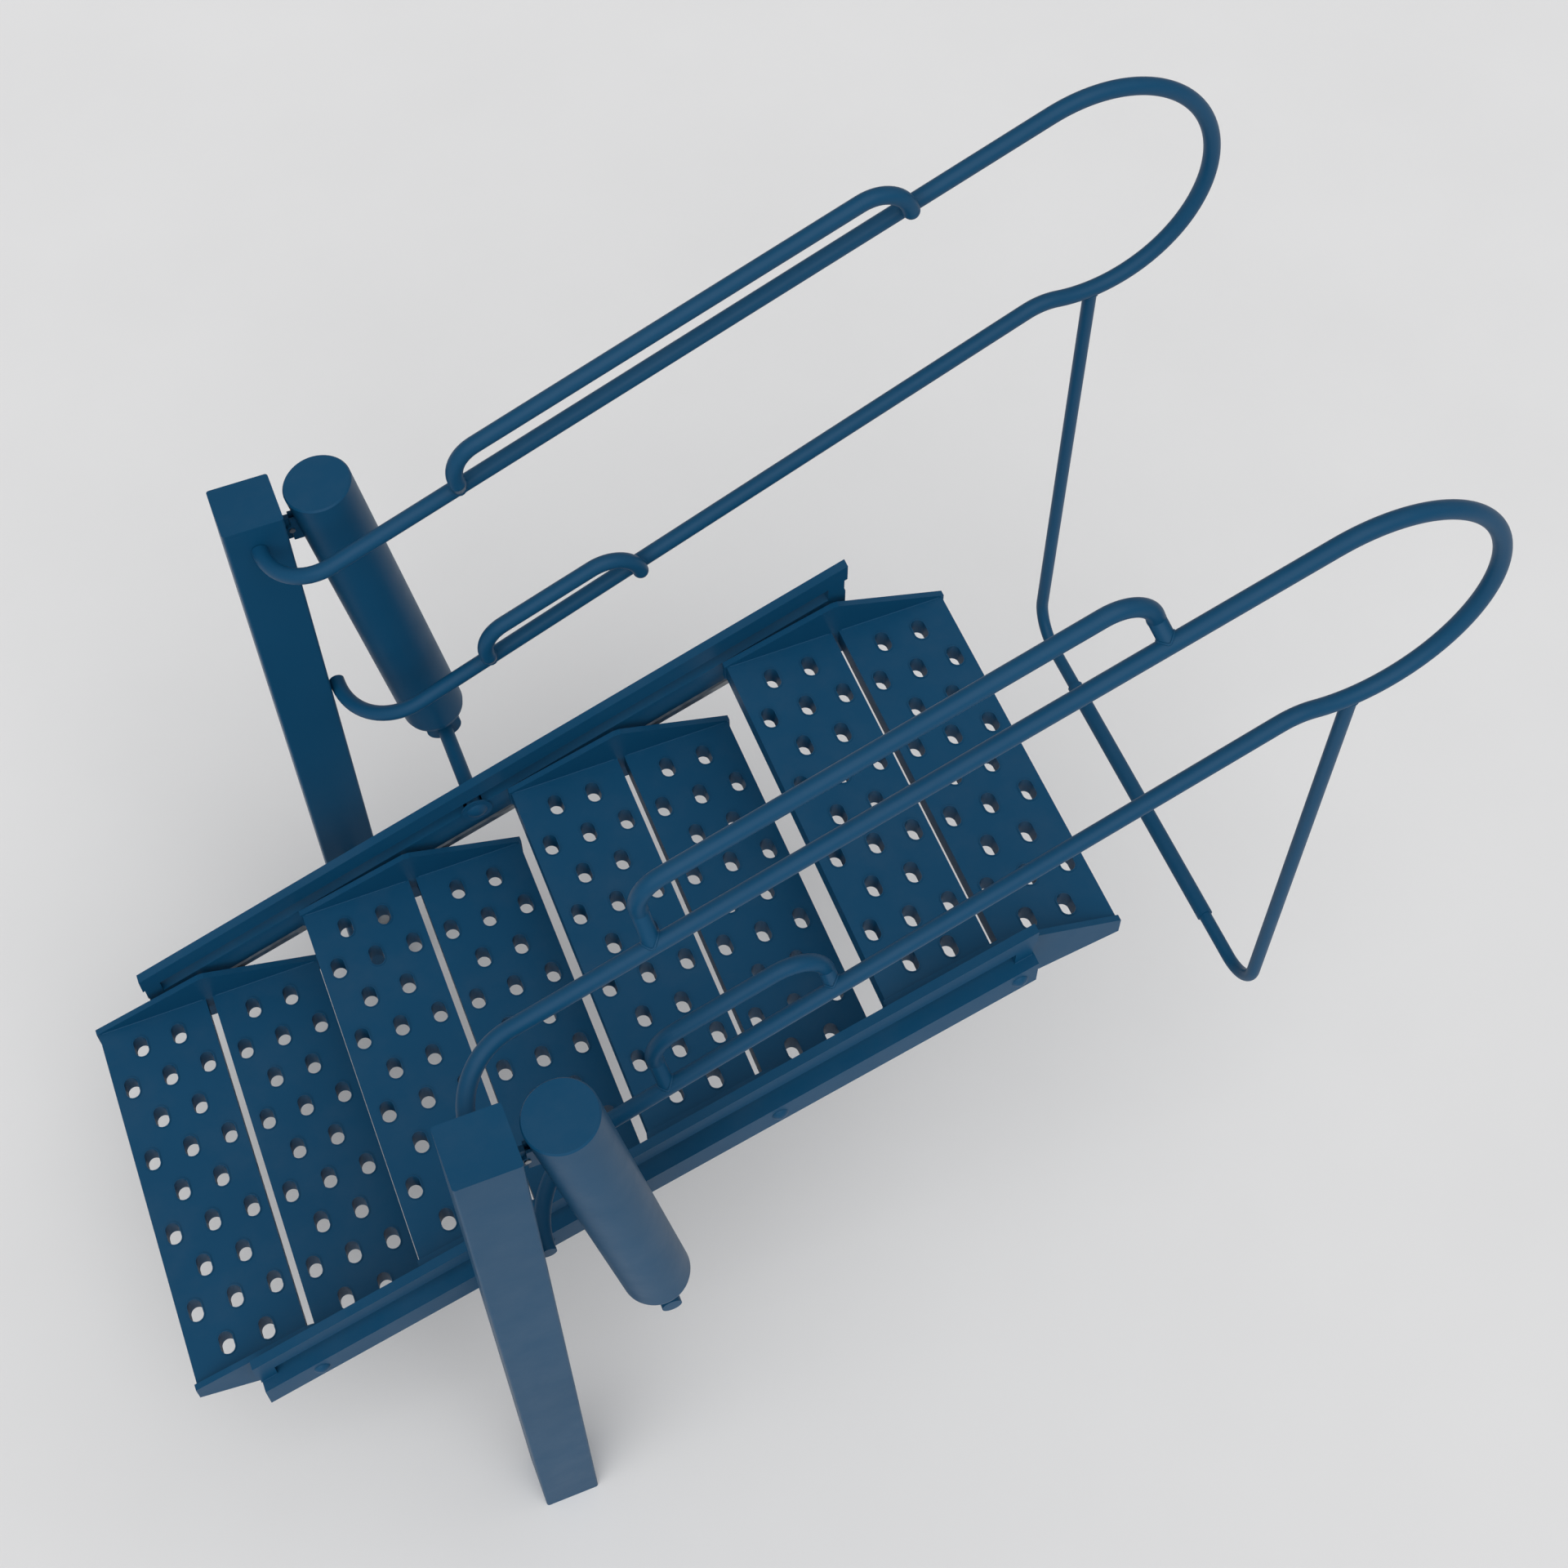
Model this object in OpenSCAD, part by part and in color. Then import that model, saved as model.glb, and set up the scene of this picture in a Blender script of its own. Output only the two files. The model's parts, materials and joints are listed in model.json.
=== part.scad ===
// Tilting access stair between two floor posts: level treads, side cylinders and looped handrails.
// Millimetres, +Z up. The origin is on the floor midway between the posts, +X runs up the stair.

/* [Posts] */
// Width of the square posts
post_w = 125; // [80:1:200]
// Height of the posts above the floor
post_h = 1876; // [1200:1:2400]
// Distance from the centre line to each post's centre
post_y = 733; // [500:1:1000]
// Wall thickness of the posts
post_wall = 6.3; // [3:0.1:12]
// Radius of the posts' vertical edges
post_edge_r = 6; // [2:0.5:15]
// Spacing of the two foot bolts in one post
foot_bolt_gap = 80; // [50:1:90]
// Radius of the foot bolt holes
foot_hole_r = 9; // [4:0.5:14]

/* [Stringers] */
// Rise of the stair for each millimetre of run
rise = 0.4074; // [0.1:0.0001:0.8]
// Height of the stringers' top line above the floor at x = 0
top_z = 916.5; // [600:0.5:1200]
// Lower end of the stringers
low_x = -551; // [-900:1:-300]
// Upper end of the stringers
high_x = 1192; // [800:1:1600]
// Inner face of the stringers, from the centre line
inner_y = 478; // [300:1:600]
// Height of the top chord
top_chord_h = 46; // [35:0.5:60]
// Width of the top chord
top_chord_w = 21.5; // [10:0.5:60]
// Depth of the bottom chord's upper side below the top line
chord_top = 84; // [50:1:120]
// Depth of the bottom chord's lower side below the top line
chord_bottom = 154; // [100:1:220]
// Width of the bottom chord
chord_w = 46.4; // [20:0.1:80]
// Length of the top chord's legs, which close the window at both ends
leg_len = 38; // [20:0.5:80]

/* [Treads] */
// Position of the first tread's pivot along the stair
tread_x = -417; // [-700:0.5:-200]
// Run from one tread pivot to the next
tread_step = 522.6; // [300:0.1:700]
// Depth of the pivot line below the top line
pivot_drop = 119; // [90:1:145]
// Depth of the planks' upper surface below the pivot
plank_drop = 42.6; // [20:0.1:80]
// Gap between the two planks of a tread
plank_gap = 17; // [4:0.5:40]
// Width of one plank
plank_w = 251.5; // [150:0.5:320]
// Depth of the planks
plank_h = 46; // [20:1:80]
// Half the length of the planks
plank_y = 443; // [300:1:600]
// Sheet thickness of the planks
plank_t = 4; // [2:0.5:8]
// Radius of the rounded ends of the slots in the planks
hole_r = 15.5; // [5:0.5:18]
// Distance from a slot's middle to the centres of its rounded ends
hole_reach = 10.5; // [2:0.5:30]
// Wall thickness of the collars round the slots
collar_t = 2.5; // [1:0.5:4]
// Height of the collars above the planks
collar_up = 2; // [0.5:0.5:6]
// Spacing of the slot columns
hole_dx = 44.3; // [30:0.1:60]
// Spacing of the slots along a column
hole_dy = 189; // [100:1:250]
// Thickness of the treads' end plates
end_t = 14; // [6:0.5:25]

/* [Pivots] */
// Radius of the tread pivot shafts
shaft_r = 10; // [5:0.5:16]
// Radius of the domed caps on the tread pivots
cap_r = 18; // [12:0.5:30]
// Height of the domed caps
cap_h = 9; // [3:0.5:16]
// Radius of the stair's hinge pins
hinge_r = 15; // [8:0.5:25]
// Height of the stair's hinge pins above the floor
hinge_z = 620; // [300:1:740]
// Drop of the levelling bar's holes below the pivots
crank = 24; // [15:0.5:40]
// Radial clearance of the running fits
fit = 0.05; // [0.01:0.01:0.1]

/* [Cylinders] */
// Radius of the cylinder barrels
barrel_r = 70.7; // [40:0.1:100]
// Centre of the barrel's top along the stair
barrel_x = 146.5; // [100:0.5:250]
// Height of the barrel's top
barrel_z = 1878.6; // [1500:0.1:2200]
// Lean of the cylinders from upright, in degrees
lean = 8.65; // [0:0.05:20]
// Length of the barrel's straight wall
barrel_len = 862; // [500:1:1000]
// Length of the rounded nose under the barrel
nose_len = 38; // [20:1:80]
// Radius of the ram
ram_r = 38; // [20:0.5:55]
// Radius of the rounded end of the ram's eye
eye_r = 41; // [30:0.5:60]
// Thickness of the ram's eye
eye_t = 28; // [15:1:50]
// Cross pin position along the stair
pin_x = 289; // [200:0.5:400]
// Cross pin height
pin_z = 940; // [800:0.5:1100]
// Cross pin radius
pin_r = 17.5; // [10:0.5:25]

/* [Handrails] */
// Radius of the handrail tube
rail_r = 16.85; // [12:0.05:25]
// Distance of the rails from the centre line
rail_y = 539; // [450:1:620]
// Height of the upper rail's axis at x = 0
upper_z = 1807.8; // [1500:0.1:1860]
// Slope of the upper rail
upper_m = 0.4298; // [0.1:0.0001:0.8]
// Height of the lower rail's axis at x = 0
lower_z = 1220.1; // [900:0.1:1500]
// Slope of the lower rail
lower_m = 0.4748; // [0.1:0.0001:0.8]
// Centre of the end bow along the stair
bow_x = 1701; // [1500:1:1900]
// Height of the end bow's centre
bow_z = 2250; // [2000:1:2500]
// Bend radius where the lower rail meets the bow
neck_r = 120; // [80:1:200]
// Bend radius of the upper rails' ends at the posts
end_r = 130; // [60:1:131]
// Bend radius of the lower rails' ends beside the posts
low_end_r = 165; // [60:1:170]
// Plane of the upper grab bars
grab_up_y = 500; // [450:1:520]
// Plane of the lower grab bars
grab_low_y = 504; // [450:1:520]
// Bend radius of the grab bars
grab_r = 75; // [40:1:120]
// Position of the U-bar along the stair
ubar_x = 1738; // [1600:1:1850]
// Height of the U-bar's crossing
ubar_z = 830; // [500:1:1200]
// Radius of the U-bar's rod
ubar_r = 14.25; // [8:0.05:20]
// Bend radius of the U-bar
ubar_bend = 90; // [50:1:160]
// Radius of the sleeve on the crossing
sleeve_r = 18; // [16:0.5:25]
// Half the length of the sleeve
sleeve_half = 338; // [100:1:400]

/* [Hidden] */

NEAR = -1;
FAR = 1;
BLUE = [0.10, 0.28, 0.45];
STEEL = [0.55, 0.57, 0.60];
POLISH = [0.75, 0.76, 0.78];
$fn = 48;

post_in = post_y - post_w / 2;
post_face = post_w / 2;
pitch = atan(rise);
chord_y = inner_y + chord_w;
leg_low = low_x + 5;
leg_high = high_x - 7;
chord_low = low_x + 7;
chord_high = high_x - 4;
end_y = plank_y + end_t;
hinge_plate_y = 500;
hinge_plate_t = 12;
crank_disc_y = 470;
bar_y = 462;
bar_t = 6;
bar_half = 7;
bar_pin_r = 4;
gap = 0.3;
lug_x = 75.6;
lug_z = 1776;
lug_r = 11.5;
lug_pin_r = 6;
lug_t = 12;
ear_t = 6;
barrel_wall = 6.7;
piston_r = barrel_r - barrel_wall - 0.4;
stub_r = 12;
// Gap left at each weld between a tube's bends and straights
weld = 0.03;
upper_a = atan(upper_m);
lower_a = atan(lower_m);

// The bow is tangent to the upper rail, and a neck of radius neck_r blends the lower rail into it.
bow_r = (upper_z + upper_m * bow_x - bow_z) / sqrt(1 + upper_m * upper_m);
neck_c = lower_z - neck_r * sqrt(1 + lower_m * lower_m) - bow_z;
neck_a = 1 + lower_m * lower_m;
neck_b = 2 * (lower_m * neck_c - bow_x);
neck_k = bow_x * bow_x + neck_c * neck_c - pow(bow_r + neck_r, 2);
neck_x = (-neck_b - sqrt(neck_b * neck_b - 4 * neck_a * neck_k)) / (2 * neck_a);
neck_z = lower_m * neck_x + neck_c + bow_z;
neck_turn = atan2(bow_z - neck_z, bow_x - neck_x);
tangent_x = bow_x - bow_r * sin(upper_a);
lower_end_x = neck_x - neck_r * sin(lower_a);
lower_corner_x = post_face + rail_r + 0.5;

function top_at(x) = top_z + rise * x;
function pivot_at(x) = top_at(x) - pivot_drop;
function upper_at(x) = upper_z + upper_m * x;
function lower_at(x) = lower_z + lower_m * x;
function tread_at(k) = tread_x + (k - 1) * tread_step;

// A prism with its outline in XZ, between y0 and y1
module slab(points, y0, y1) {
  translate([0, max(y0, y1), 0]) rotate([90, 0, 0]) linear_extrude(abs(y1 - y0)) polygon(points);
}

function below(x, depth) = [x, top_at(x) - depth];

// A strip parallel to the stair, between two depths below the top line
module band(x0, x1, d0, d1, y0, y1) {
  slab([below(x0, d1), below(x1, d1), below(x1, d0), below(x0, d0)], y0, y1);
}

// A cylinder along Y between y0 and y1
module rod_y(x, z, r, y0, y1) {
  translate([x, max(y0, y1), z]) rotate([90, 0, 0]) cylinder(r = r, h = abs(y1 - y0));
}

// A straight tube axis in the plane y, from one XZ point to another
module leg(a, b, y, r) {
  v = b - a;
  translate([a[0], y, a[1]]) rotate([0, 90 - atan2(v[1], v[0]), 0]) cylinder(r = r, h = norm(v));
}

// A straight tube axis between two points in space
module strut(a, b, r) {
  v = b - a;
  translate(a) rotate([0, acos(v[2] / norm(v)), atan2(v[1], v[0])]) cylinder(r = r, h = norm(v));
}

// A bend in the plane y round centre c, from angle a0 through sweep
module bend(c, br, a0, sweep, y, r, cut = weld) {
  slack = cut / br * 180 / PI;
  translate([c[0], y, c[1]]) rotate([90, 0, 0]) rotate([0, 0, a0 + slack])
    rotate_extrude(angle = sweep - 2 * slack) translate([br, 0]) circle(r = r);
}

function unit(v) = v / norm(v);
function cross2(u, v) = u[0] * v[1] - u[1] * v[0];
function turn(p, i) =
  let (u = unit(p[i] - p[i - 1]), v = unit(p[i + 1] - p[i])) atan2(cross2(u, v), u * v);
function trim(p, i, br) = i == 0 || i == len(p) - 1 ? 0 : br * tan(abs(turn(p, i)) / 2);

// A tube bent in the plane y through the points p, with bend radius br at each inner point
module bent(p, br, y, r, cut = weld) {
  for (i = [0 : len(p) - 2]) {
    u = unit(p[i + 1] - p[i]);
    leg(p[i] + u * trim(p, i, br), p[i + 1] - u * trim(p, i + 1, br), y, r);
  }
  for (i = [1 : len(p) - 2]) {
    u = unit(p[i] - p[i - 1]);
    t = turn(p, i);
    s = t > 0 ? 1 : -1;
    from = p[i] - u * trim(p, i, br);
    c = from + s * br * [-u[1], u[0]];
    a0 = atan2(from[1] - c[1], from[0] - c[0]);
    bend(c, br, t > 0 ? a0 : a0 + t, abs(t), y, r, cut);
  }
}

// A cap with a spherical top, its base at y0 and its crown toward side s
module dome(x, z, r, h, y0, s) {
  ball = (r * r + h * h) / (2 * h);
  translate([x, y0, z]) rotate([-s * 90, 0, 0]) intersection() {
    cylinder(r = r, h = h);
    translate([0, 0, h - ball]) sphere(r = ball);
  }
}

module post(s) {
  w = post_w - 2 * post_edge_r;
  in = post_w - 2 * post_wall;
  difference() {
    translate([0, s * post_y, 0]) union() {
      translate([-w / 2, -post_w / 2, 0]) cube([w, post_w, post_h]);
      translate([-post_w / 2, -w / 2, 0]) cube([post_w, w, post_h]);
      for (x = [-w / 2, w / 2], y = [-w / 2, w / 2]) translate([x, y, 0]) cylinder(r = post_edge_r, h = post_h);
    }
    translate([-in / 2, s * post_y - in / 2, -1]) cube([in, in, post_h - post_wall + 1]);
    rod_y(0, upper_z, stub_r + fit, s * (post_in - 1), s * (post_in + post_wall + 1));
    rod_y(0, hinge_z, hinge_r + fit, s * (post_in - 1), s * (post_in + post_wall + 1));
  }
}

module foot_plate(s) {
  side = post_w - 2 * post_wall - 0.4;
  difference() {
    translate([-side / 2, s * post_y - side / 2, 0]) cube([side, side, 15]);
    for (x = [-foot_bolt_gap / 2, foot_bolt_gap / 2])
      translate([x, s * post_y, -1]) cylinder(r = foot_hole_r, h = 17);
  }
}

module hinge_pin(s) {
  rod_y(0, hinge_z, hinge_r, s * (crank_disc_y + 5), s * (post_in + post_wall + 12));
  rod_y(0, hinge_z, crank + 10, s * crank_disc_y, s * (crank_disc_y + 6));
  rod_y(0, hinge_z - crank, bar_pin_r, s * (bar_y - 2), s * (crank_disc_y + 1));
}

module barrel_lug(s) {
  difference() {
    union() {
      translate([post_face, s * post_y - lug_t / 2, lug_z - 31]) cube([lug_x - post_face, lug_t, 62]);
      rod_y(lug_x, lug_z, lug_r, post_y * s - lug_t / 2, post_y * s + lug_t / 2);
    }
    rod_y(lug_x, lug_z, lug_pin_r, post_y * s - lug_t, post_y * s + lug_t);
  }
}

module lug_pin(s) {
  rod_y(lug_x, lug_z, lug_pin_r, s * post_y - 15, s * post_y + 15);
}

// The top chord, with a leg near each end that stands on the bottom chord
module top_chord(s) {
  h = top_chord_h;
  difference() {
    slab([below(low_x, 0), below(low_x, h), below(leg_low, h), below(leg_low, chord_top),
      below(leg_low + leg_len, chord_top), below(leg_low + leg_len, h), below(leg_high - leg_len, h),
      below(leg_high - leg_len, chord_top), below(leg_high, chord_top), below(leg_high, h),
      below(high_x, h), below(high_x, 0)], s * inner_y, s * (inner_y + top_chord_w));
    band(low_x + 3, high_x - 3, 3, top_chord_h - 3, s * (inner_y + 3), s * (inner_y + top_chord_w - 3));
  }
}

module bottom_chord(s) {
  difference() {
    band(chord_low, chord_high, chord_top, chord_bottom, s * inner_y, s * chord_y);
    band(chord_low + 4, chord_high - 4, chord_top + 4, chord_bottom - 4, s * (inner_y + 4), s * (chord_y - 4));
    for (k = [1 : 4])
      rod_y(tread_at(k), pivot_at(tread_at(k)), shaft_r + fit, s * (inner_y - 1), s * (chord_y + 1));
    rod_y(pin_x, pin_z, pin_r + 8, s * (inner_y - 1), s * (chord_y + 1));
  }
}

module hinge_plate(s) {
  difference() {
    union() {
      slab([[-40, hinge_z], [40, hinge_z], [40, top_at(40) - chord_bottom], [-40, top_at(-40) - chord_bottom]],
        s * hinge_plate_y, s * (hinge_plate_y + hinge_plate_t));
      rod_y(0, hinge_z, 40, s * hinge_plate_y, s * (hinge_plate_y + hinge_plate_t));
    }
    rod_y(0, hinge_z, hinge_r + fit, s * (hinge_plate_y - 1), s * (hinge_plate_y + hinge_plate_t + 1));
  }
}

module spacer(k, s) {
  x = tread_at(k);
  difference() {
    rod_y(x, pivot_at(x), shaft_r + 3, s * (end_y + gap), s * inner_y);
    rod_y(x, pivot_at(x), shaft_r + fit, s * (end_y - 1), s * (inner_y + 1));
  }
}

// One plank of a tread: side is -1 for the lower plank and 1 for the upper one
module plank(k, side) {
  top = pivot_at(tread_at(k)) - plank_drop;
  x0 = tread_at(k) + (side < 0 ? -plank_gap / 2 - plank_w : plank_gap / 2);
  difference() {
    union() {
      translate([x0, -plank_y, top - plank_t]) cube([plank_w, 2 * plank_y, plank_t]);
      for (x = [x0, x0 + plank_w - plank_t])
        translate([x, -plank_y, top - plank_h]) cube([plank_t, 2 * plank_y, plank_h]);
      plank_slots(k, side, top, hole_r + collar_t, collar_up, plank_h);
    }
    plank_slots(k, side, top, hole_r, collar_up + 1, plank_h + 1);
  }
}

// The 22 slot shapes of one plank, from up above its surface to down below it
module plank_slots(k, side, top, r, up, down) {
  for (col = [1 : 5]) {
    rows = col % 2 == 1 ? [-1.5 : 1 : 1.5] : [-2 : 1 : 2];
    for (j = rows) translate([tread_at(k) + side * col * hole_dx, j * hole_dy, top - down]) {
      for (e = [-1, 1]) translate([0, e * hole_reach, 0]) cylinder(r = r, h = up + down, $fn = 32);
      translate([0.1 - r, -hole_reach, 0]) cube([2 * r - 0.2, 2 * hole_reach, up + down]);
    }
  }
}

module tread_end(k, s) {
  x = tread_at(k);
  z = pivot_at(x);
  slab([[x - 265, z - 39], [x - 265, z - 85], [x - 88, z - 126], [x + 88, z - 126], [x + 265, z - 85],
    [x + 265, z - 39], [x + 20, z + 46], [x + 7, z + 50.5], [x - 7, z + 50.5], [x - 20, z + 46]],
    s * plank_y, s * end_y);
}

module tread_pivot(k, s) {
  x = tread_at(k);
  z = pivot_at(x);
  rod_y(x, z, shaft_r, s * end_y, s * (chord_y + gap + 1));
  dome(x, z, cap_r, cap_h, s * (chord_y + gap), s);
  rod_y(x, z - crank, bar_pin_r, s * end_y, s * (bar_y + bar_t + 2));
}

module levelling_bar(s) {
  x1 = tread_at(1);
  x4 = tread_at(4);
  y0 = s * bar_y;
  y1 = s * (bar_y + bar_t);
  lift = bar_half / cos(pitch);
  difference() {
    union() {
      slab([[x1, pivot_at(x1) - crank - lift], [x4, pivot_at(x4) - crank - lift],
        [x4, pivot_at(x4) - crank + lift], [x1, pivot_at(x1) - crank + lift]], y0, y1);
      slab([[-11, hinge_z - crank], [11, hinge_z - crank], [11, pivot_at(11) - crank],
        [-11, pivot_at(-11) - crank]], y0, y1);
      rod_y(0, hinge_z - crank, 11, y0, y1);
      for (x = [x1, x4]) rod_y(x, pivot_at(x) - crank, 9, y0, y1);
    }
    for (k = [1 : 4]) rod_y(tread_at(k), pivot_at(tread_at(k)) - crank, bar_pin_r + fit, y0 - 9, y0 + 9);
    rod_y(0, hinge_z - crank, bar_pin_r + fit, y0 - 9, y0 + 9);
  }
}

// Places children with +Z up the cylinder's axis and the origin at the barrel's top
module on_cylinder(s) {
  translate([barrel_x, s * post_y, barrel_z]) rotate([0, -lean, 0]) children();
}

module barrel(s) {
  difference() {
    union() {
      on_cylinder(s) translate([0, 0, -barrel_len]) cylinder(r = barrel_r, h = barrel_len - 4);
      on_cylinder(s) translate([0, 0, -4]) cylinder(r1 = barrel_r, r2 = barrel_r - 3, h = 4);
      for (e = [-1, 1]) ear(s, e);
    }
    on_cylinder(s) translate([0, 0, -barrel_len - 1])
      cylinder(r = barrel_r - barrel_wall, h = barrel_len - 9);
    rod_y(lug_x, lug_z, lug_pin_r + fit, s * post_y - 20, s * post_y + 20);
  }
}

module ear(s, e) {
  y0 = s * post_y + e * (lug_t / 2 + gap);
  y1 = y0 + e * ear_t;
  slab([[lug_x, lug_z - 31], [lug_x + 24, lug_z - 31], [lug_x + 24, lug_z + 31], [lug_x, lug_z + 31]], y0, y1);
  rod_y(lug_x, lug_z, lug_r, y0, y1);
}

module nose(s) {
  on_cylinder(s) translate([0, 0, -barrel_len - nose_len]) rotate_extrude() polygon([
    [ram_r + fit, 0], [ram_r + 4, 0], [ram_r + 7, 4], [ram_r + 15, 10], [ram_r + 24, 18], [ram_r + 30, 27],
    [barrel_r, nose_len], [ram_r + fit, nose_len]]);
}

module ram(s) {
  reach = (barrel_z - pin_z) / cos(lean);
  difference() {
    union() {
      on_cylinder(s) rotate_extrude() polygon([[0, 30 - reach], [ram_r, 30 - reach], [ram_r, -690],
        [piston_r, -690], [piston_r, -640], [0, -640]]);
      on_cylinder(s) translate([3 - ram_r, 0.5 - eye_t / 2, -reach]) cube([2 * ram_r - 6, eye_t - 1, 50]);
      rod_y(pin_x, pin_z, eye_r, s * post_y - eye_t / 2, s * post_y + eye_t / 2);
    }
    rod_y(pin_x, pin_z, pin_r + fit, s * post_y - 60, s * post_y + 60);
  }
}

// The pin through the ram's eye and the stringer: washer and cap inside, boss and head outside
module cross_pin(s) {
  rod_y(pin_x, pin_z, pin_r, s * (inner_y - 5), s * 780);
  rod_y(pin_x, pin_z, 36, s * (inner_y - 5), s * (inner_y - gap));
  rod_y(pin_x, pin_z, 27, s * (chord_y + gap), s * (chord_y + 16));
  rod_y(pin_x, pin_z, 21, s * (post_y + 22), s * (post_y + 51));
  dome(pin_x, pin_z, 24, 9, s * (inner_y - 5), -s);
}

// A quarter bend of radius br from the rail's slope out to the side, its corner at (x, z)
module side_bend(x, z, a, br, s) {
  slack = weld / br * 180 / PI;
  translate([x, s * rail_y, z]) rotate([0, -a, 0]) translate([br, s * br, 0])
    rotate([0, 0, (s > 0 ? 180 : 90) + slack]) rotate_extrude(angle = 90 - 2 * slack)
      translate([br, 0]) circle(r = rail_r);
}

module upper_rail(s) {
  start = end_r * cos(upper_a);
  leg([start, upper_at(start)], [tangent_x, upper_at(tangent_x)], s * rail_y, rail_r);
  side_bend(0, upper_z, upper_a, end_r, s);
  rod_y(0, upper_z, stub_r, s * (rail_y + end_r + weld), s * (post_in + post_wall + 10));
}

module lower_rail(s) {
  z = lower_at(lower_corner_x);
  start = lower_corner_x + low_end_r * cos(lower_a);
  leg([start, lower_at(start)], [lower_end_x, lower_at(lower_end_x)], s * rail_y, rail_r);
  side_bend(lower_corner_x, z, lower_a, low_end_r, s);
  rod_y(lower_corner_x, z, rail_r, s * (rail_y + low_end_r), s * 711);
}

module bow(s) {
  bend([bow_x, bow_z], bow_r, neck_turn - 180, 270 - neck_turn + upper_a, s * rail_y, rail_r);
  bend([neck_x, neck_z], neck_r, neck_turn, 90 + lower_a - neck_turn, s * rail_y, rail_r);
}

// A grab bar bent in the plane y: the legs turn at the first and last points p and run to the rail at a and b
module grab_bar(a, p, b, y, s) {
  last = len(p) - 1;
  bent(p, grab_r, s * y, rail_r);
  for (q = [[p[0], a], [p[last], b]]) {
    kink = [q[0][0], s * y, q[0][1]];
    translate(kink) sphere(r = rail_r + 0.4);
    strut(kink, [q[1][0], s * rail_y, q[1][1]], rail_r - 0.3);
  }
}

module grab_bars(s) {
  difference() {
    grab_bar([390, upper_at(390)], [[382, 2036], [372, 2104], [1275, 2485.5], [1303, 2400]],
      [1313, upper_at(1313)], grab_up_y, s);
    leg([200, upper_at(200)], [1500, upper_at(1500)], s * rail_y, rail_r + 0.1);
  }
  difference() {
    grab_bar([392, lower_at(392)], [[382.5, 1460], [368, 1525.5], [705, 1676], [729.5, 1586]],
      [734, lower_at(734)], grab_low_y, s);
    leg([200, lower_at(200)], [900, lower_at(900)], s * rail_y, rail_r + 0.1);
  }
}

module u_bar() {
  color(BLUE) difference() {
    rotate([0, 0, 90]) bent([[-rail_y, bow_z - bow_r + 3], [-rail_y, ubar_z], [rail_y, ubar_z],
      [rail_y, bow_z - bow_r + 3]], ubar_bend, -ubar_x, ubar_r, 0);
    for (s = [NEAR, FAR]) bend([bow_x, bow_z], bow_r, -100, 40, s * rail_y, rail_r + 0.1);
  }
}

module sleeve() {
  color(BLUE) difference() {
    rod_y(ubar_x, ubar_z, sleeve_r, -sleeve_half, sleeve_half);
    rod_y(ubar_x, ubar_z, ubar_r + fit, -sleeve_half - 1, sleeve_half + 1);
  }
}

module pivot_spacers() { color(STEEL) for (k = [1 : 4], s = [NEAR, FAR]) spacer(k, s); }
module tread_pivots(k) { color(BLUE) for (s = [NEAR, FAR]) tread_pivot(k, s); }

module post_near() { color(BLUE) post(NEAR); }
module post_far() { color(BLUE) post(FAR); }
module foot_plate_near() { color(STEEL) foot_plate(NEAR); }
module foot_plate_far() { color(STEEL) foot_plate(FAR); }
module hinge_pin_near() { color(STEEL) hinge_pin(NEAR); }
module hinge_pin_far() { color(STEEL) hinge_pin(FAR); }
module barrel_lug_near() { color(BLUE) barrel_lug(NEAR); }
module barrel_lug_far() { color(BLUE) barrel_lug(FAR); }
module lug_pin_near() { color(STEEL) lug_pin(NEAR); }
module lug_pin_far() { color(STEEL) lug_pin(FAR); }
module top_chord_near() { color(BLUE) top_chord(NEAR); }
module top_chord_far() { color(BLUE) top_chord(FAR); }
module bottom_chord_near() { color(BLUE) bottom_chord(NEAR); }
module bottom_chord_far() { color(BLUE) bottom_chord(FAR); }
module hinge_plate_near() { color(BLUE) hinge_plate(NEAR); }
module hinge_plate_far() { color(BLUE) hinge_plate(FAR); }
module tread1_low_plank() { color(BLUE) plank(1, -1); }
module tread1_high_plank() { color(BLUE) plank(1, 1); }
module tread1_end_near() { color(BLUE) tread_end(1, NEAR); }
module tread1_end_far() { color(BLUE) tread_end(1, FAR); }
module tread1_pivots() { tread_pivots(1); }
module tread2_low_plank() { color(BLUE) plank(2, -1); }
module tread2_high_plank() { color(BLUE) plank(2, 1); }
module tread2_end_near() { color(BLUE) tread_end(2, NEAR); }
module tread2_end_far() { color(BLUE) tread_end(2, FAR); }
module tread2_pivots() { tread_pivots(2); }
module tread3_low_plank() { color(BLUE) plank(3, -1); }
module tread3_high_plank() { color(BLUE) plank(3, 1); }
module tread3_end_near() { color(BLUE) tread_end(3, NEAR); }
module tread3_end_far() { color(BLUE) tread_end(3, FAR); }
module tread3_pivots() { tread_pivots(3); }
module tread4_low_plank() { color(BLUE) plank(4, -1); }
module tread4_high_plank() { color(BLUE) plank(4, 1); }
module tread4_end_near() { color(BLUE) tread_end(4, NEAR); }
module tread4_end_far() { color(BLUE) tread_end(4, FAR); }
module tread4_pivots() { tread_pivots(4); }
module levelling_bar_near() { color(STEEL) levelling_bar(NEAR); }
module levelling_bar_far() { color(STEEL) levelling_bar(FAR); }
module barrel_near() { color(BLUE) barrel(NEAR); }
module barrel_far() { color(BLUE) barrel(FAR); }
module nose_near() { color(BLUE) nose(NEAR); }
module nose_far() { color(BLUE) nose(FAR); }
module ram_near() { color(BLUE) ram(NEAR); }
module ram_far() { color(BLUE) ram(FAR); }
module cross_pin_near() { color(BLUE) cross_pin(NEAR); }
module cross_pin_far() { color(BLUE) cross_pin(FAR); }
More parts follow.
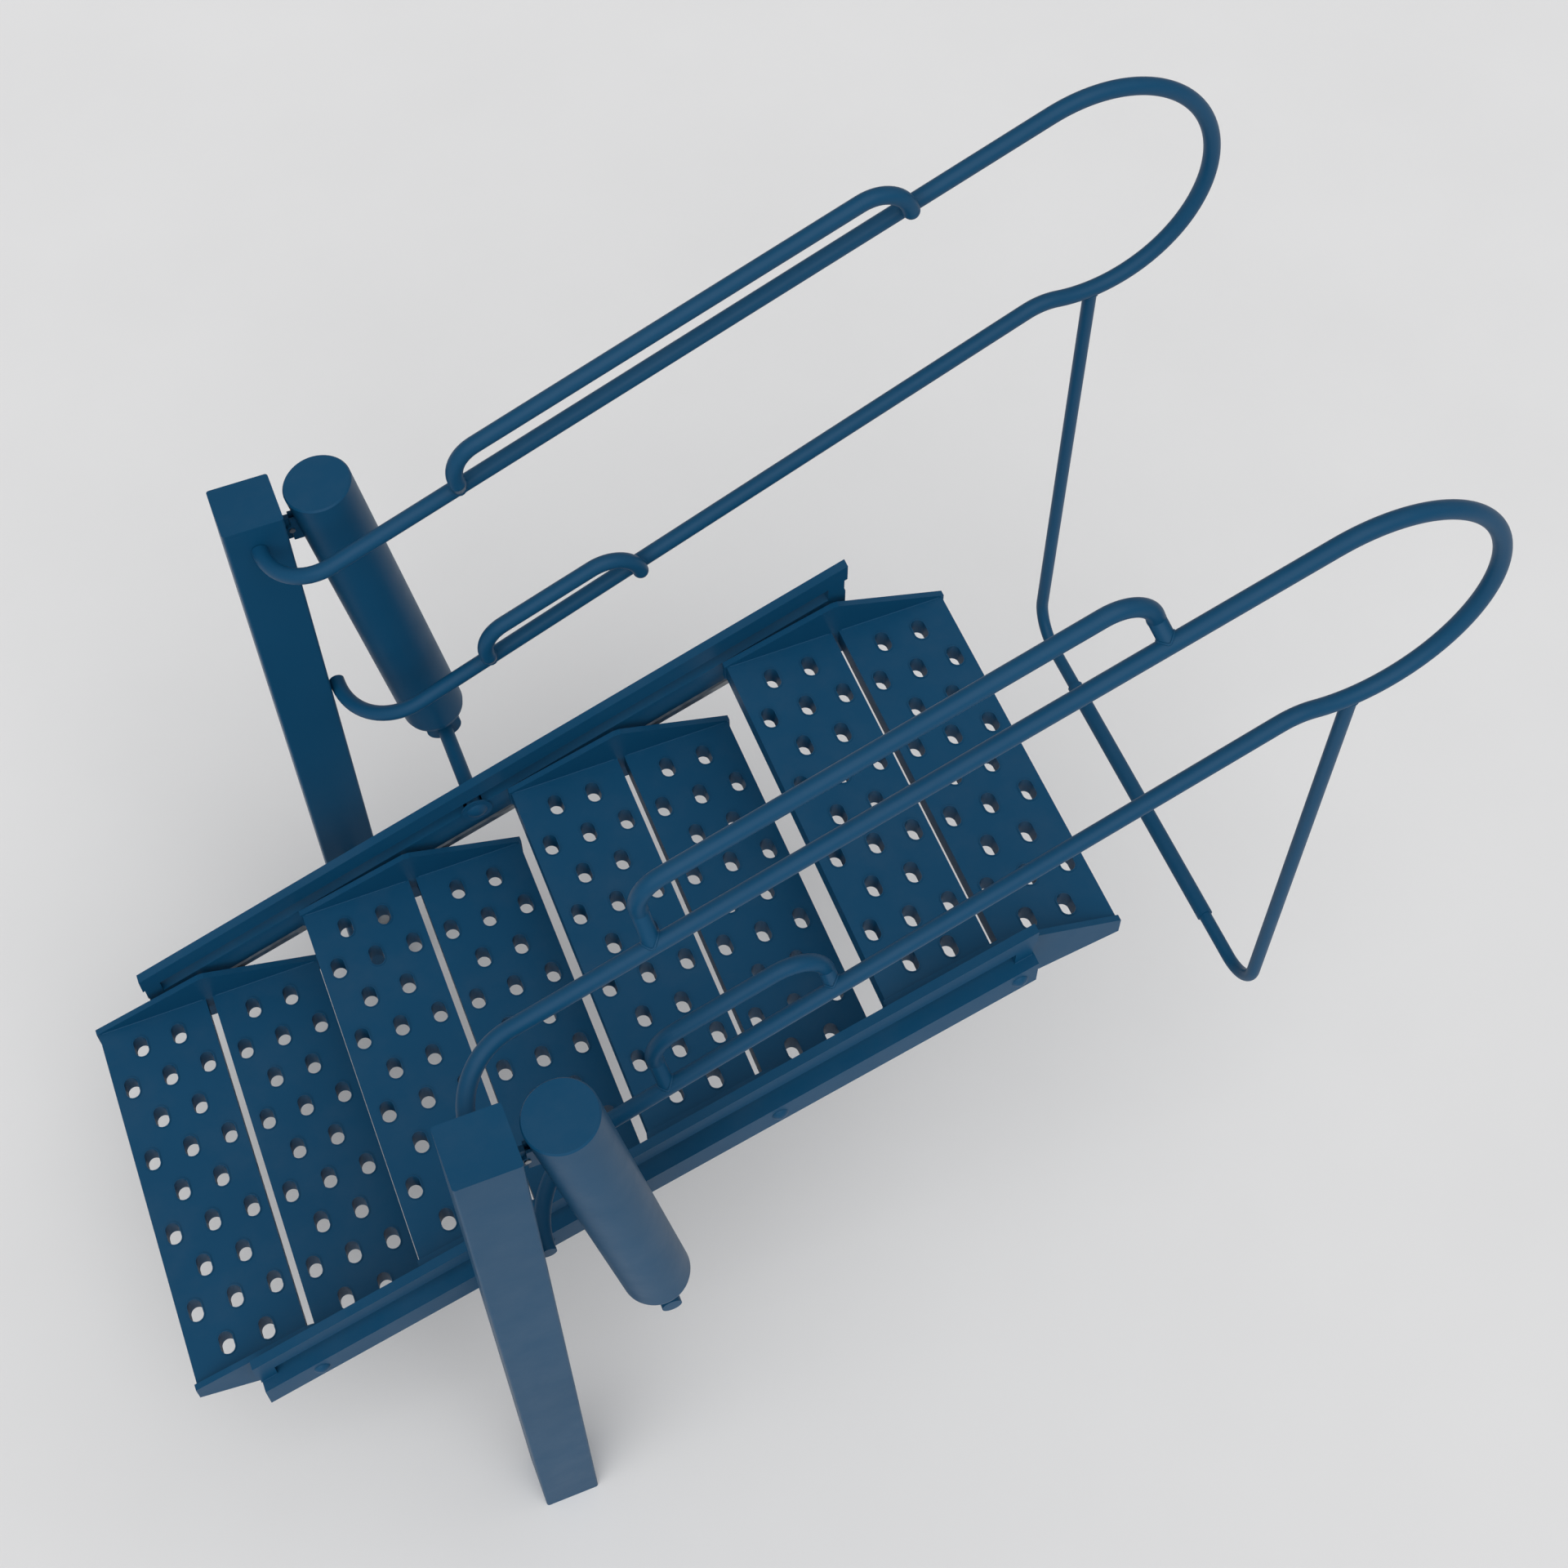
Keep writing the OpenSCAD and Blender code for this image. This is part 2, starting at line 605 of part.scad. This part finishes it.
module upper_rail_near() { color(BLUE) upper_rail(NEAR); }
module upper_rail_far() { color(BLUE) upper_rail(FAR); }
module bow_near() { color(BLUE) bow(NEAR); }
module bow_far() { color(BLUE) bow(FAR); }
module lower_rail_near() { color(BLUE) lower_rail(NEAR); }
module lower_rail_far() { color(BLUE) lower_rail(FAR); }
module grab_bars_near() { color(BLUE) grab_bars(NEAR); }
module grab_bars_far() { color(BLUE) grab_bars(FAR); }

post_near();
post_far();
foot_plate_near();
foot_plate_far();
hinge_pin_near();
hinge_pin_far();
barrel_lug_near();
barrel_lug_far();
lug_pin_near();
lug_pin_far();
top_chord_near();
top_chord_far();
bottom_chord_near();
bottom_chord_far();
hinge_plate_near();
hinge_plate_far();
pivot_spacers();
tread1_low_plank();
tread1_high_plank();
tread1_end_near();
tread1_end_far();
tread1_pivots();
tread2_low_plank();
tread2_high_plank();
tread2_end_near();
tread2_end_far();
tread2_pivots();
tread3_low_plank();
tread3_high_plank();
tread3_end_near();
tread3_end_far();
tread3_pivots();
tread4_low_plank();
tread4_high_plank();
tread4_end_near();
tread4_end_far();
tread4_pivots();
levelling_bar_near();
levelling_bar_far();
barrel_near();
barrel_far();
nose_near();
nose_far();
ram_near();
ram_far();
cross_pin_near();
cross_pin_far();
upper_rail_near();
upper_rail_far();
bow_near();
bow_far();
lower_rail_near();
lower_rail_far();
grab_bars_near();
grab_bars_far();
u_bar();
sleeve();
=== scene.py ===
"""Looks for the tilting access stair: paint, welds, floor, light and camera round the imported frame."""

import json
import math

import bpy
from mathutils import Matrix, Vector


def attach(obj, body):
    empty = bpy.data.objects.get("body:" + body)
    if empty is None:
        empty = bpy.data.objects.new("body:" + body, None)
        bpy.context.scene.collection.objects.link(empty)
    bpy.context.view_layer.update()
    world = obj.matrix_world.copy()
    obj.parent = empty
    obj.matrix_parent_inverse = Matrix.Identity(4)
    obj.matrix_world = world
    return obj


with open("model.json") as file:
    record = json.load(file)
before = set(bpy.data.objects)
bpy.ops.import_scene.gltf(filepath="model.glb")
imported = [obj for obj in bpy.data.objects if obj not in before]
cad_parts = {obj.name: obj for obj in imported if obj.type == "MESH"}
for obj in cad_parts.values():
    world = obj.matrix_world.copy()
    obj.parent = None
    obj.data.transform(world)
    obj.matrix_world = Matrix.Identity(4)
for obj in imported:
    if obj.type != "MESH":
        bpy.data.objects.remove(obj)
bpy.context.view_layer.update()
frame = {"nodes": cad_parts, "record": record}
NODES = frame["nodes"]
SIDES = {"near": -1, "far": 1}

# Sizes of the CAD parts that the welds follow, in metres.
# The stringers: height of the top chord's top at x = 0, its rise per metre, and the depths below that line.
TOP_Z = 0.9165
RISE = 0.4074
CHORD_TOP = 0.084
PIVOT_DROP = 0.119
INNER_Y = 0.478
TOP_CHORD_W = 0.0215
LEG_STARTS = (-0.546, 1.147)
LEG_LEN = 0.038

# The treads: the first pivot, the step to the next one, and the two planks of each.
TREADS = 4
TREAD_X = -0.417
TREAD_STEP = 0.5226
PLANK_DROP = 0.0426
PLANK_GAP = 0.017
PLANK_W = 0.2515
PLANK_Y = 0.443

# The lugs on the posts.
POST_Y = 0.733
POST_FACE = 0.0625
LUG_T = 0.012
LUG_Z = 1.776
LUG_HALF = 0.031

# The tubes: each rail's axis as its height at x = 0 and its rise per metre, the bow's centre and the
# U-bar's legs.
RAIL_R = 0.01685
RAIL_Y = 0.539
STRUT_R = 0.01655
UPPER = (1.8078, 0.4298)
LOWER = (1.2201, 0.4748)
BOW_X = 1.701
BOW_Z = 2.25
UBAR_X = 1.738
UBAR_R = 0.01425

# Where each grab bar's slanted end leaves its kink (x, y, z), and the x where its axis meets the rail's.
UPPER_FEET = (((0.382, 0.500, 2.036), 0.390), ((1.303, 0.500, 2.400), 1.313))
LOWER_FEET = (((0.3825, 0.504, 1.460), 0.392), ((0.7295, 0.504, 1.586), 0.734))

# Radius of a weld bead on the tubes and lugs, along the legs and along the planks.
WELD_R = 0.0028
LEG_WELD_R = 0.0015
PLANK_WELD_R = 0.002
# How far a plank's bead stays from the plank's long edges.
SEAM_INSET = 0.006
# A bead is a tube of rings: its sides, the rings' spacing and the thinner rings' size, both in bead radii.
RING_SIDES = 8
RING_STEP = 0.9
THIN_RING = 0.86
# A direction that no bead runs along, to start the rings' own axes from.
ASKEW = (0.31, 0.17, 0.93)
# Points on the closed curve where two tubes meet.
CURVE_POINTS = 40

# Bevel widths of the square-edged parts, by the start of the node's name.
BEVELS = {
    "post": 0.0015,
    "barrel_lug": 0.0012,
    "top_chord": 0.0026,
    "bottom_chord": 0.0026,
    "hinge_plate": 0.0012,
    "tread": 0.0009,
    "levelling": 0.0008,
}
BEVEL_SEGMENTS = 2
BEVEL_ANGLE = math.radians(50)

# The paint's two close blues, the blue of a rubbed speck and the dust on top.
BLUE = (0.0040, 0.0610, 0.1380)
BLUE_SHADE = (0.0034, 0.0565, 0.1290)
BLUE_WORN = (0.020, 0.082, 0.155)
DUST = (0.22, 0.25, 0.27)
PAINT_IOR = 1.26

# The colour sockets of Blender's Mix node, which share their names with its other types' sockets.
MIX_A, MIX_B = 6, 7
MIX_RESULT = 2

FLOOR_HALF = 30.0
WORLD_COLOUR = (0.985, 0.99, 1.0, 1)
WORLD_STRENGTH = 0.40
CAMERA_AT = (-0.1282, -2.4155, 5.5844)
CAMERA_TILT = math.radians(32.04)
CAMERA_TURN = math.radians(-22.01)
LENS_MM = 55.07
SENSOR_MM = 36.0


# ---------------------------------------------------------------- materials


class Nodes:
    """A short way to add and link shader nodes."""

    def __init__(self, name):
        self.material = bpy.data.materials.new(name)
        self.material.use_nodes = True
        self.tree = self.material.node_tree
        self.tree.nodes.clear()
        self.out = self.add("ShaderNodeOutputMaterial")
        self.shader = self.add("ShaderNodeBsdfPrincipled")
        self.link(self.shader, "BSDF", self.out, "Surface")
        self.coords = self.add("ShaderNodeTexCoord")

    def add(self, kind, **values):
        node = self.tree.nodes.new(kind)
        for key, value in values.items():
            setattr(node, key, value)
        return node

    def link(self, a, a_socket, b, b_socket):
        self.tree.links.new(a.outputs[a_socket], b.inputs[b_socket])

    def noise(self, scale, detail=4.0, rough=0.55, distortion=0.0):
        node = self.add("ShaderNodeTexNoise")
        node.inputs["Scale"].default_value = scale
        node.inputs["Detail"].default_value = detail
        node.inputs["Roughness"].default_value = rough
        node.inputs["Distortion"].default_value = distortion
        self.link(self.coords, "Object", node, "Vector")
        return node

    def ramp(self, source, socket, low, high, low_value=0.0, high_value=1.0):
        """Maps low..high of a value to low_value..high_value, clamped."""
        node = self.add("ShaderNodeMapRange")
        node.inputs["From Min"].default_value = low
        node.inputs["From Max"].default_value = high
        node.inputs["To Min"].default_value = low_value
        node.inputs["To Max"].default_value = high_value
        self.link(source, socket, node, "Value")
        return node

    def times(self, a, a_socket, b, b_socket):
        node = self.add("ShaderNodeMath", operation="MULTIPLY")
        self.link(a, a_socket, node, 0)
        self.link(b, b_socket, node, 1)
        return node

    def mix(self, factor, factor_socket, a, b):
        """Mixes colour a with colour b, where a may also be another mix node."""
        node = self.add("ShaderNodeMix", data_type="RGBA")
        self.link(factor, factor_socket, node, "Factor")
        if isinstance(a, bpy.types.Node):
            self.link(a, MIX_RESULT, node, MIX_A)
        else:
            node.inputs[MIX_A].default_value = (*a, 1.0)
        node.inputs[MIX_B].default_value = (*b, 1.0)
        return node

    def bump(self, source, socket, strength, distance, before=None):
        node = self.add("ShaderNodeBump")
        node.inputs["Strength"].default_value = strength
        node.inputs["Distance"].default_value = distance
        self.link(source, socket, node, "Height")
        if before is not None:
            self.link(before, "Normal", node, "Normal")
        return node


def paint(name, wear, rough, grit):
    """Satin machine enamel: two close blues, thin dust on top, a few rubbed specks and orange peel.

    wear is how much the specks show, rough the smooth patches' roughness and grit the peel's depth.
    """
    n = Nodes(name)
    tone = n.ramp(n.noise(2.2, 5.0), "Fac", 0.36, 0.66)
    colour = n.mix(tone, "Result", BLUE, BLUE_SHADE)

    facing = n.add("ShaderNodeSeparateXYZ")
    n.link(n.coords, "Normal", facing, "Vector")
    upward = n.ramp(facing, "Z", 0.55, 0.95)
    dust_cloud = n.ramp(n.noise(6.5, 6.0, 0.7), "Fac", 0.45, 0.72, 0.0, 0.035)
    dust = n.times(upward, "Result", dust_cloud, "Result")
    colour = n.mix(dust, "Value", colour, DUST)

    rubbed = n.ramp(n.noise(38.0, 6.0, 0.75, 1.2), "Fac", 0.68, 0.76, 0.0, wear)
    region = n.ramp(n.noise(4.0, 3.0), "Fac", 0.50, 0.64)
    patches = n.times(rubbed, "Result", region, "Result")
    colour = n.mix(patches, "Value", colour, BLUE_WORN)
    n.link(colour, MIX_RESULT, n.shader, "Base Color")
    n.shader.inputs["IOR"].default_value = PAINT_IOR

    gloss = n.ramp(n.noise(11.0, 5.0, 0.6), "Fac", 0.3, 0.7, rough - 0.03, rough + 0.05)
    n.link(gloss, "Result", n.shader, "Roughness")
    waves = n.bump(n.noise(55.0, 3.0), "Fac", 0.08, 0.001)
    peel = n.bump(n.noise(420.0, 2.0), "Fac", grit, 0.0004, waves)
    n.link(peel, "Normal", n.shader, "Normal")
    return n.material


def plated_steel(name):
    """Zinc-plated steel with fine turning lines and dull patches."""
    n = Nodes(name)
    tone = n.ramp(n.noise(24.0, 5.0), "Fac", 0.35, 0.68)
    colour = n.mix(tone, "Result", (0.34, 0.36, 0.38), (0.22, 0.23, 0.24))
    n.link(colour, MIX_RESULT, n.shader, "Base Color")
    n.shader.inputs["Metallic"].default_value = 1.0
    gloss = n.ramp(n.noise(60.0, 4.0), "Fac", 0.3, 0.7, 0.32, 0.52)
    n.link(gloss, "Result", n.shader, "Roughness")
    lines = n.add("ShaderNodeTexWave", bands_direction="Y")
    lines.inputs["Scale"].default_value = 260.0
    lines.inputs["Distortion"].default_value = 0.6
    n.link(n.coords, "Object", lines, "Vector")
    turned = n.bump(lines, "Fac", 0.15, 0.0003)
    n.link(turned, "Normal", n.shader, "Normal")
    return n.material


def floor_paper(name):
    """Matt pale studio paper with a faint mottling."""
    n = Nodes(name)
    tone = n.ramp(n.noise(1.3, 3.0), "Fac", 0.3, 0.7)
    colour = n.mix(tone, "Result", (0.79, 0.79, 0.795), (0.81, 0.81, 0.815))
    n.link(colour, MIX_RESULT, n.shader, "Base Color")
    n.shader.inputs["Roughness"].default_value = 0.9
    n.shader.inputs["Specular IOR Level"].default_value = 0.1
    grain = n.bump(n.noise(160.0, 2.0), "Fac", 0.03, 0.001)
    n.link(grain, "Normal", n.shader, "Normal")
    return n.material


PAINTS = {
    "blue_paint": paint("blue_paint", wear=0.30, rough=0.42, grit=0.08),
    "tread_paint": paint("tread_paint", wear=0.40, rough=0.48, grit=0.12),
    "ram_paint": paint("ram_paint", wear=0.25, rough=0.38, grit=0.06),
    "grip": paint("grip", wear=0.40, rough=0.46, grit=0.10),
    "bare_steel": plated_steel("bare_steel"),
}


def dress_nodes():
    """Gives every CAD node its slot's material, and a small bevel where its edges are square."""
    slots = {part["node"]: part["material_slot"] for part in frame["record"]["subparts"]}
    for name, obj in NODES.items():
        material = PAINTS[slots[name]]
        if not obj.material_slots:
            obj.data.materials.append(material)
        for held in obj.material_slots:
            held.material = material
        width = next((w for start, w in BEVELS.items() if name.startswith(start)), 0)
        if width and "pivots" not in name:
            bevel = obj.modifiers.new("edges", "BEVEL")
            bevel.width = width
            bevel.segments = BEVEL_SEGMENTS
            bevel.limit_method = "ANGLE"
            bevel.angle_limit = BEVEL_ANGLE


# ------------------------------------------------------------------- welds


def add_object(name, data):
    obj = bpy.data.objects.new(name, data)
    bpy.context.scene.collection.objects.link(obj)
    return obj


def painted_mesh(name, verts, faces, body):
    """A smooth painted piece that rides on a body."""
    mesh = bpy.data.meshes.new(name)
    mesh.from_pydata([tuple(v) for v in verts], [], faces)
    mesh.materials.append(PAINTS["blue_paint"])
    for polygon in mesh.polygons:
        polygon.use_smooth = True
    obj = add_object(name, mesh)
    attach(obj, body)


def resample(points, step, closed):
    """Points at about even steps along a path, with the whole number of steps that fits."""
    path = [Vector(p) for p in points]
    if closed:
        path.append(path[0])
    lengths = [(b - a).length for a, b in zip(path, path[1:])]
    count = max(2, round(sum(lengths) / step))
    spots = []
    for i in range(count if closed else count + 1):
        rest = sum(lengths) * i / count
        for (a, b), length in zip(zip(path, path[1:]), lengths):
            if rest <= length or b is path[-1]:
                spots.append(a.lerp(b, min(1.0, rest / length) if length else 0.0))
                break
            rest -= length
    return spots


def bead_rings(points, radius, closed):
    """Vertices and faces of a weld bead along a path, swollen at every second ring as laid weld is."""
    spots = resample(points, radius * RING_STEP, closed)
    count = len(spots)
    ring = RING_SIDES
    verts, faces = [], []
    for i, spot in enumerate(spots):
        ahead = spots[(i + 1) % count] if closed or i + 1 < count else spot
        behind = spots[i - 1] if closed or i > 0 else spot
        along = (ahead - behind).normalized()
        side = along.cross(Vector(ASKEW)).normalized()
        up = side.cross(along)
        r = radius * (1.0 if i % 2 else THIN_RING)
        for k in range(ring):
            angle = 2 * math.pi * k / ring
            verts.append(spot + side * (r * math.cos(angle)) + up * (r * math.sin(angle)))
    for i in range(count if closed else count - 1):
        j = (i + 1) % count
        for k in range(ring):
            m = (k + 1) % ring
            faces.append((i * ring + k, i * ring + m, j * ring + m, j * ring + k))
    if not closed:
        faces.append(tuple(reversed(range(ring))))
        faces.append(tuple(range((count - 1) * ring, count * ring)))
    return verts, faces


def welds(name, paths, body, radius=WELD_R):
    """One piece with a bead along each (points, closed) path."""
    verts, faces = [], []
    for points, closed in paths:
        more, sides = bead_rings(points, radius, closed)
        faces += [tuple(i + len(verts) for i in face) for face in sides]
        verts += more
    painted_mesh(name, verts, faces, body)


def line_z(line, x):
    """Height at x of a line given as its height at x = 0 and its rise per metre."""
    return line[0] + line[1] * x


def rail_foot(kink, x, line, s):
    """The closed curve where a grab bar's slanted end runs into the side of a rail."""
    start = Vector((kink[0], s * kink[1], kink[2]))
    end = Vector((x, s * RAIL_Y, line_z(line, x)))
    along = (end - start).normalized()
    rail = Vector((1, 0, line[1])).normalized()
    side = along.cross(rail).normalized()
    up = side.cross(along)
    across = along - along.dot(rail) * rail
    points = []
    for i in range(CURVE_POINTS):
        angle = 2 * math.pi * i / CURVE_POINTS
        edge = start + STRUT_R * (math.cos(angle) * side + math.sin(angle) * up)
        # The line along the strut from this point of its edge enters the rail at the lower root.
        q = edge - end
        q -= q.dot(rail) * rail
        a, b, c = across.dot(across), 2 * q.dot(across), q.dot(q) - RAIL_R**2
        reach = (-b - math.sqrt(max(0.0, b * b - 4 * a * c))) / (2 * a)
        points.append(tuple(edge + reach * along))
    return points


def bow_foot(s):
    """The closed curve where a leg of the U-bar runs up into the underside of a bow."""
    bow_r = (line_z(UPPER, BOW_X) - BOW_Z) / math.hypot(1, UPPER[1])
    points = []
    for i in range(CURVE_POINTS):
        angle = 2 * math.pi * i / CURVE_POINTS
        x = UBAR_X + UBAR_R * math.cos(angle)
        across = UBAR_R * math.sin(angle)
        reach = bow_r + math.sqrt(RAIL_R**2 - across**2)
        points.append((x, s * RAIL_Y + across, BOW_Z - math.sqrt(reach**2 - (x - BOW_X) ** 2)))
    return points


def rectangle_x(x, y, z, half_y, half_z):
    """A closed rectangle in the plane at x."""
    return [(x, y - half_y, z - half_z), (x, y + half_y, z - half_z),
            (x, y + half_y, z + half_z), (x, y - half_y, z + half_z)]


def top_line(x, depth):
    """Height at x of the line that runs a depth below the stringers' top."""
    return TOP_Z + RISE * x - depth


def add_welds():
    for side, s in SIDES.items():
        feet = [(rail_foot(kink, x, UPPER, s), True) for kink, x in UPPER_FEET]
        feet += [(rail_foot(kink, x, LOWER, s), True) for kink, x in LOWER_FEET]
        welds(f"grab_bar_welds_{side}", feet, "handrail")
        welds(f"u_bar_weld_{side}", [(bow_foot(s), True)], "handrail")
        face = rectangle_x(POST_FACE, s * POST_Y, LUG_Z, LUG_T / 2, LUG_HALF)
        welds(f"lug_weld_{side}", [(face, True)], "frame")
        y = s * (INNER_Y + TOP_CHORD_W)
        legs = [(x, x + LEG_LEN) for x in LEG_STARTS]
        seams = [([(x, y, top_line(x, CHORD_TOP)) for x in ends], False) for ends in legs]
        welds(f"leg_welds_{side}", seams, "walkway", LEG_WELD_R)
        for k in range(TREADS):
            x = TREAD_X + k * TREAD_STEP
            z = top_line(x, PIVOT_DROP) - PLANK_DROP
            y = s * PLANK_Y
            starts = (x - PLANK_GAP / 2 - PLANK_W, x + PLANK_GAP / 2)
            runs = [([(a + SEAM_INSET, y, z), (a + PLANK_W - SEAM_INSET, y, z)], False)
                    for a in starts]
            welds(f"tread{k + 1}_welds_{side}", runs, f"tread_{k + 1}", PLANK_WELD_R)


# ------------------------------------------------------------ floor, light, camera


def add_floor():
    corners = [(FLOOR_HALF * x, FLOOR_HALF * y, 0) for x, y in ((-1, -1), (1, -1), (1, 1), (-1, 1))]
    mesh = bpy.data.meshes.new("floor")
    mesh.from_pydata(corners, [], [(0, 1, 2, 3)])
    mesh.materials.append(floor_paper("floor_paper"))
    obj = add_object("floor", mesh)


def soft_sun(name, toward, strength, width, colour):
    """An even light that shines along a direction, softened by its angular width in degrees."""
    data = bpy.data.lights.new(name, "SUN")
    data.energy = strength
    data.angle = math.radians(width)
    data.color = colour
    obj = add_object(name, data)
    obj.rotation_euler = Vector(toward).to_track_quat("-Z", "Y").to_euler()


def add_light():
    world = bpy.data.worlds.new("studio")
    world.use_nodes = True
    background = world.node_tree.nodes["Background"]
    background.inputs["Color"].default_value = WORLD_COLOUR
    background.inputs["Strength"].default_value = WORLD_STRENGTH
    bpy.context.scene.world = world
    soft_sun("key", (0.36, 0.78, -1.0), 1.95, 78.0, (1.0, 0.995, 0.985))
    soft_sun("fill", (-0.6, 0.3, -1.0), 0.22, 60.0, (0.98, 0.99, 1.0))


def add_camera():
    data = bpy.data.cameras.new("camera")
    data.sensor_width = SENSOR_MM
    data.lens = LENS_MM
    data.clip_end = 100.0
    obj = add_object("camera", data)
    obj.location = CAMERA_AT
    obj.rotation_euler = (CAMERA_TILT, 0.0, CAMERA_TURN)
    bpy.context.scene.camera = obj
    bpy.context.scene.view_settings.view_transform = "Standard"


dress_nodes()
add_welds()
add_floor()
add_light()
add_camera()
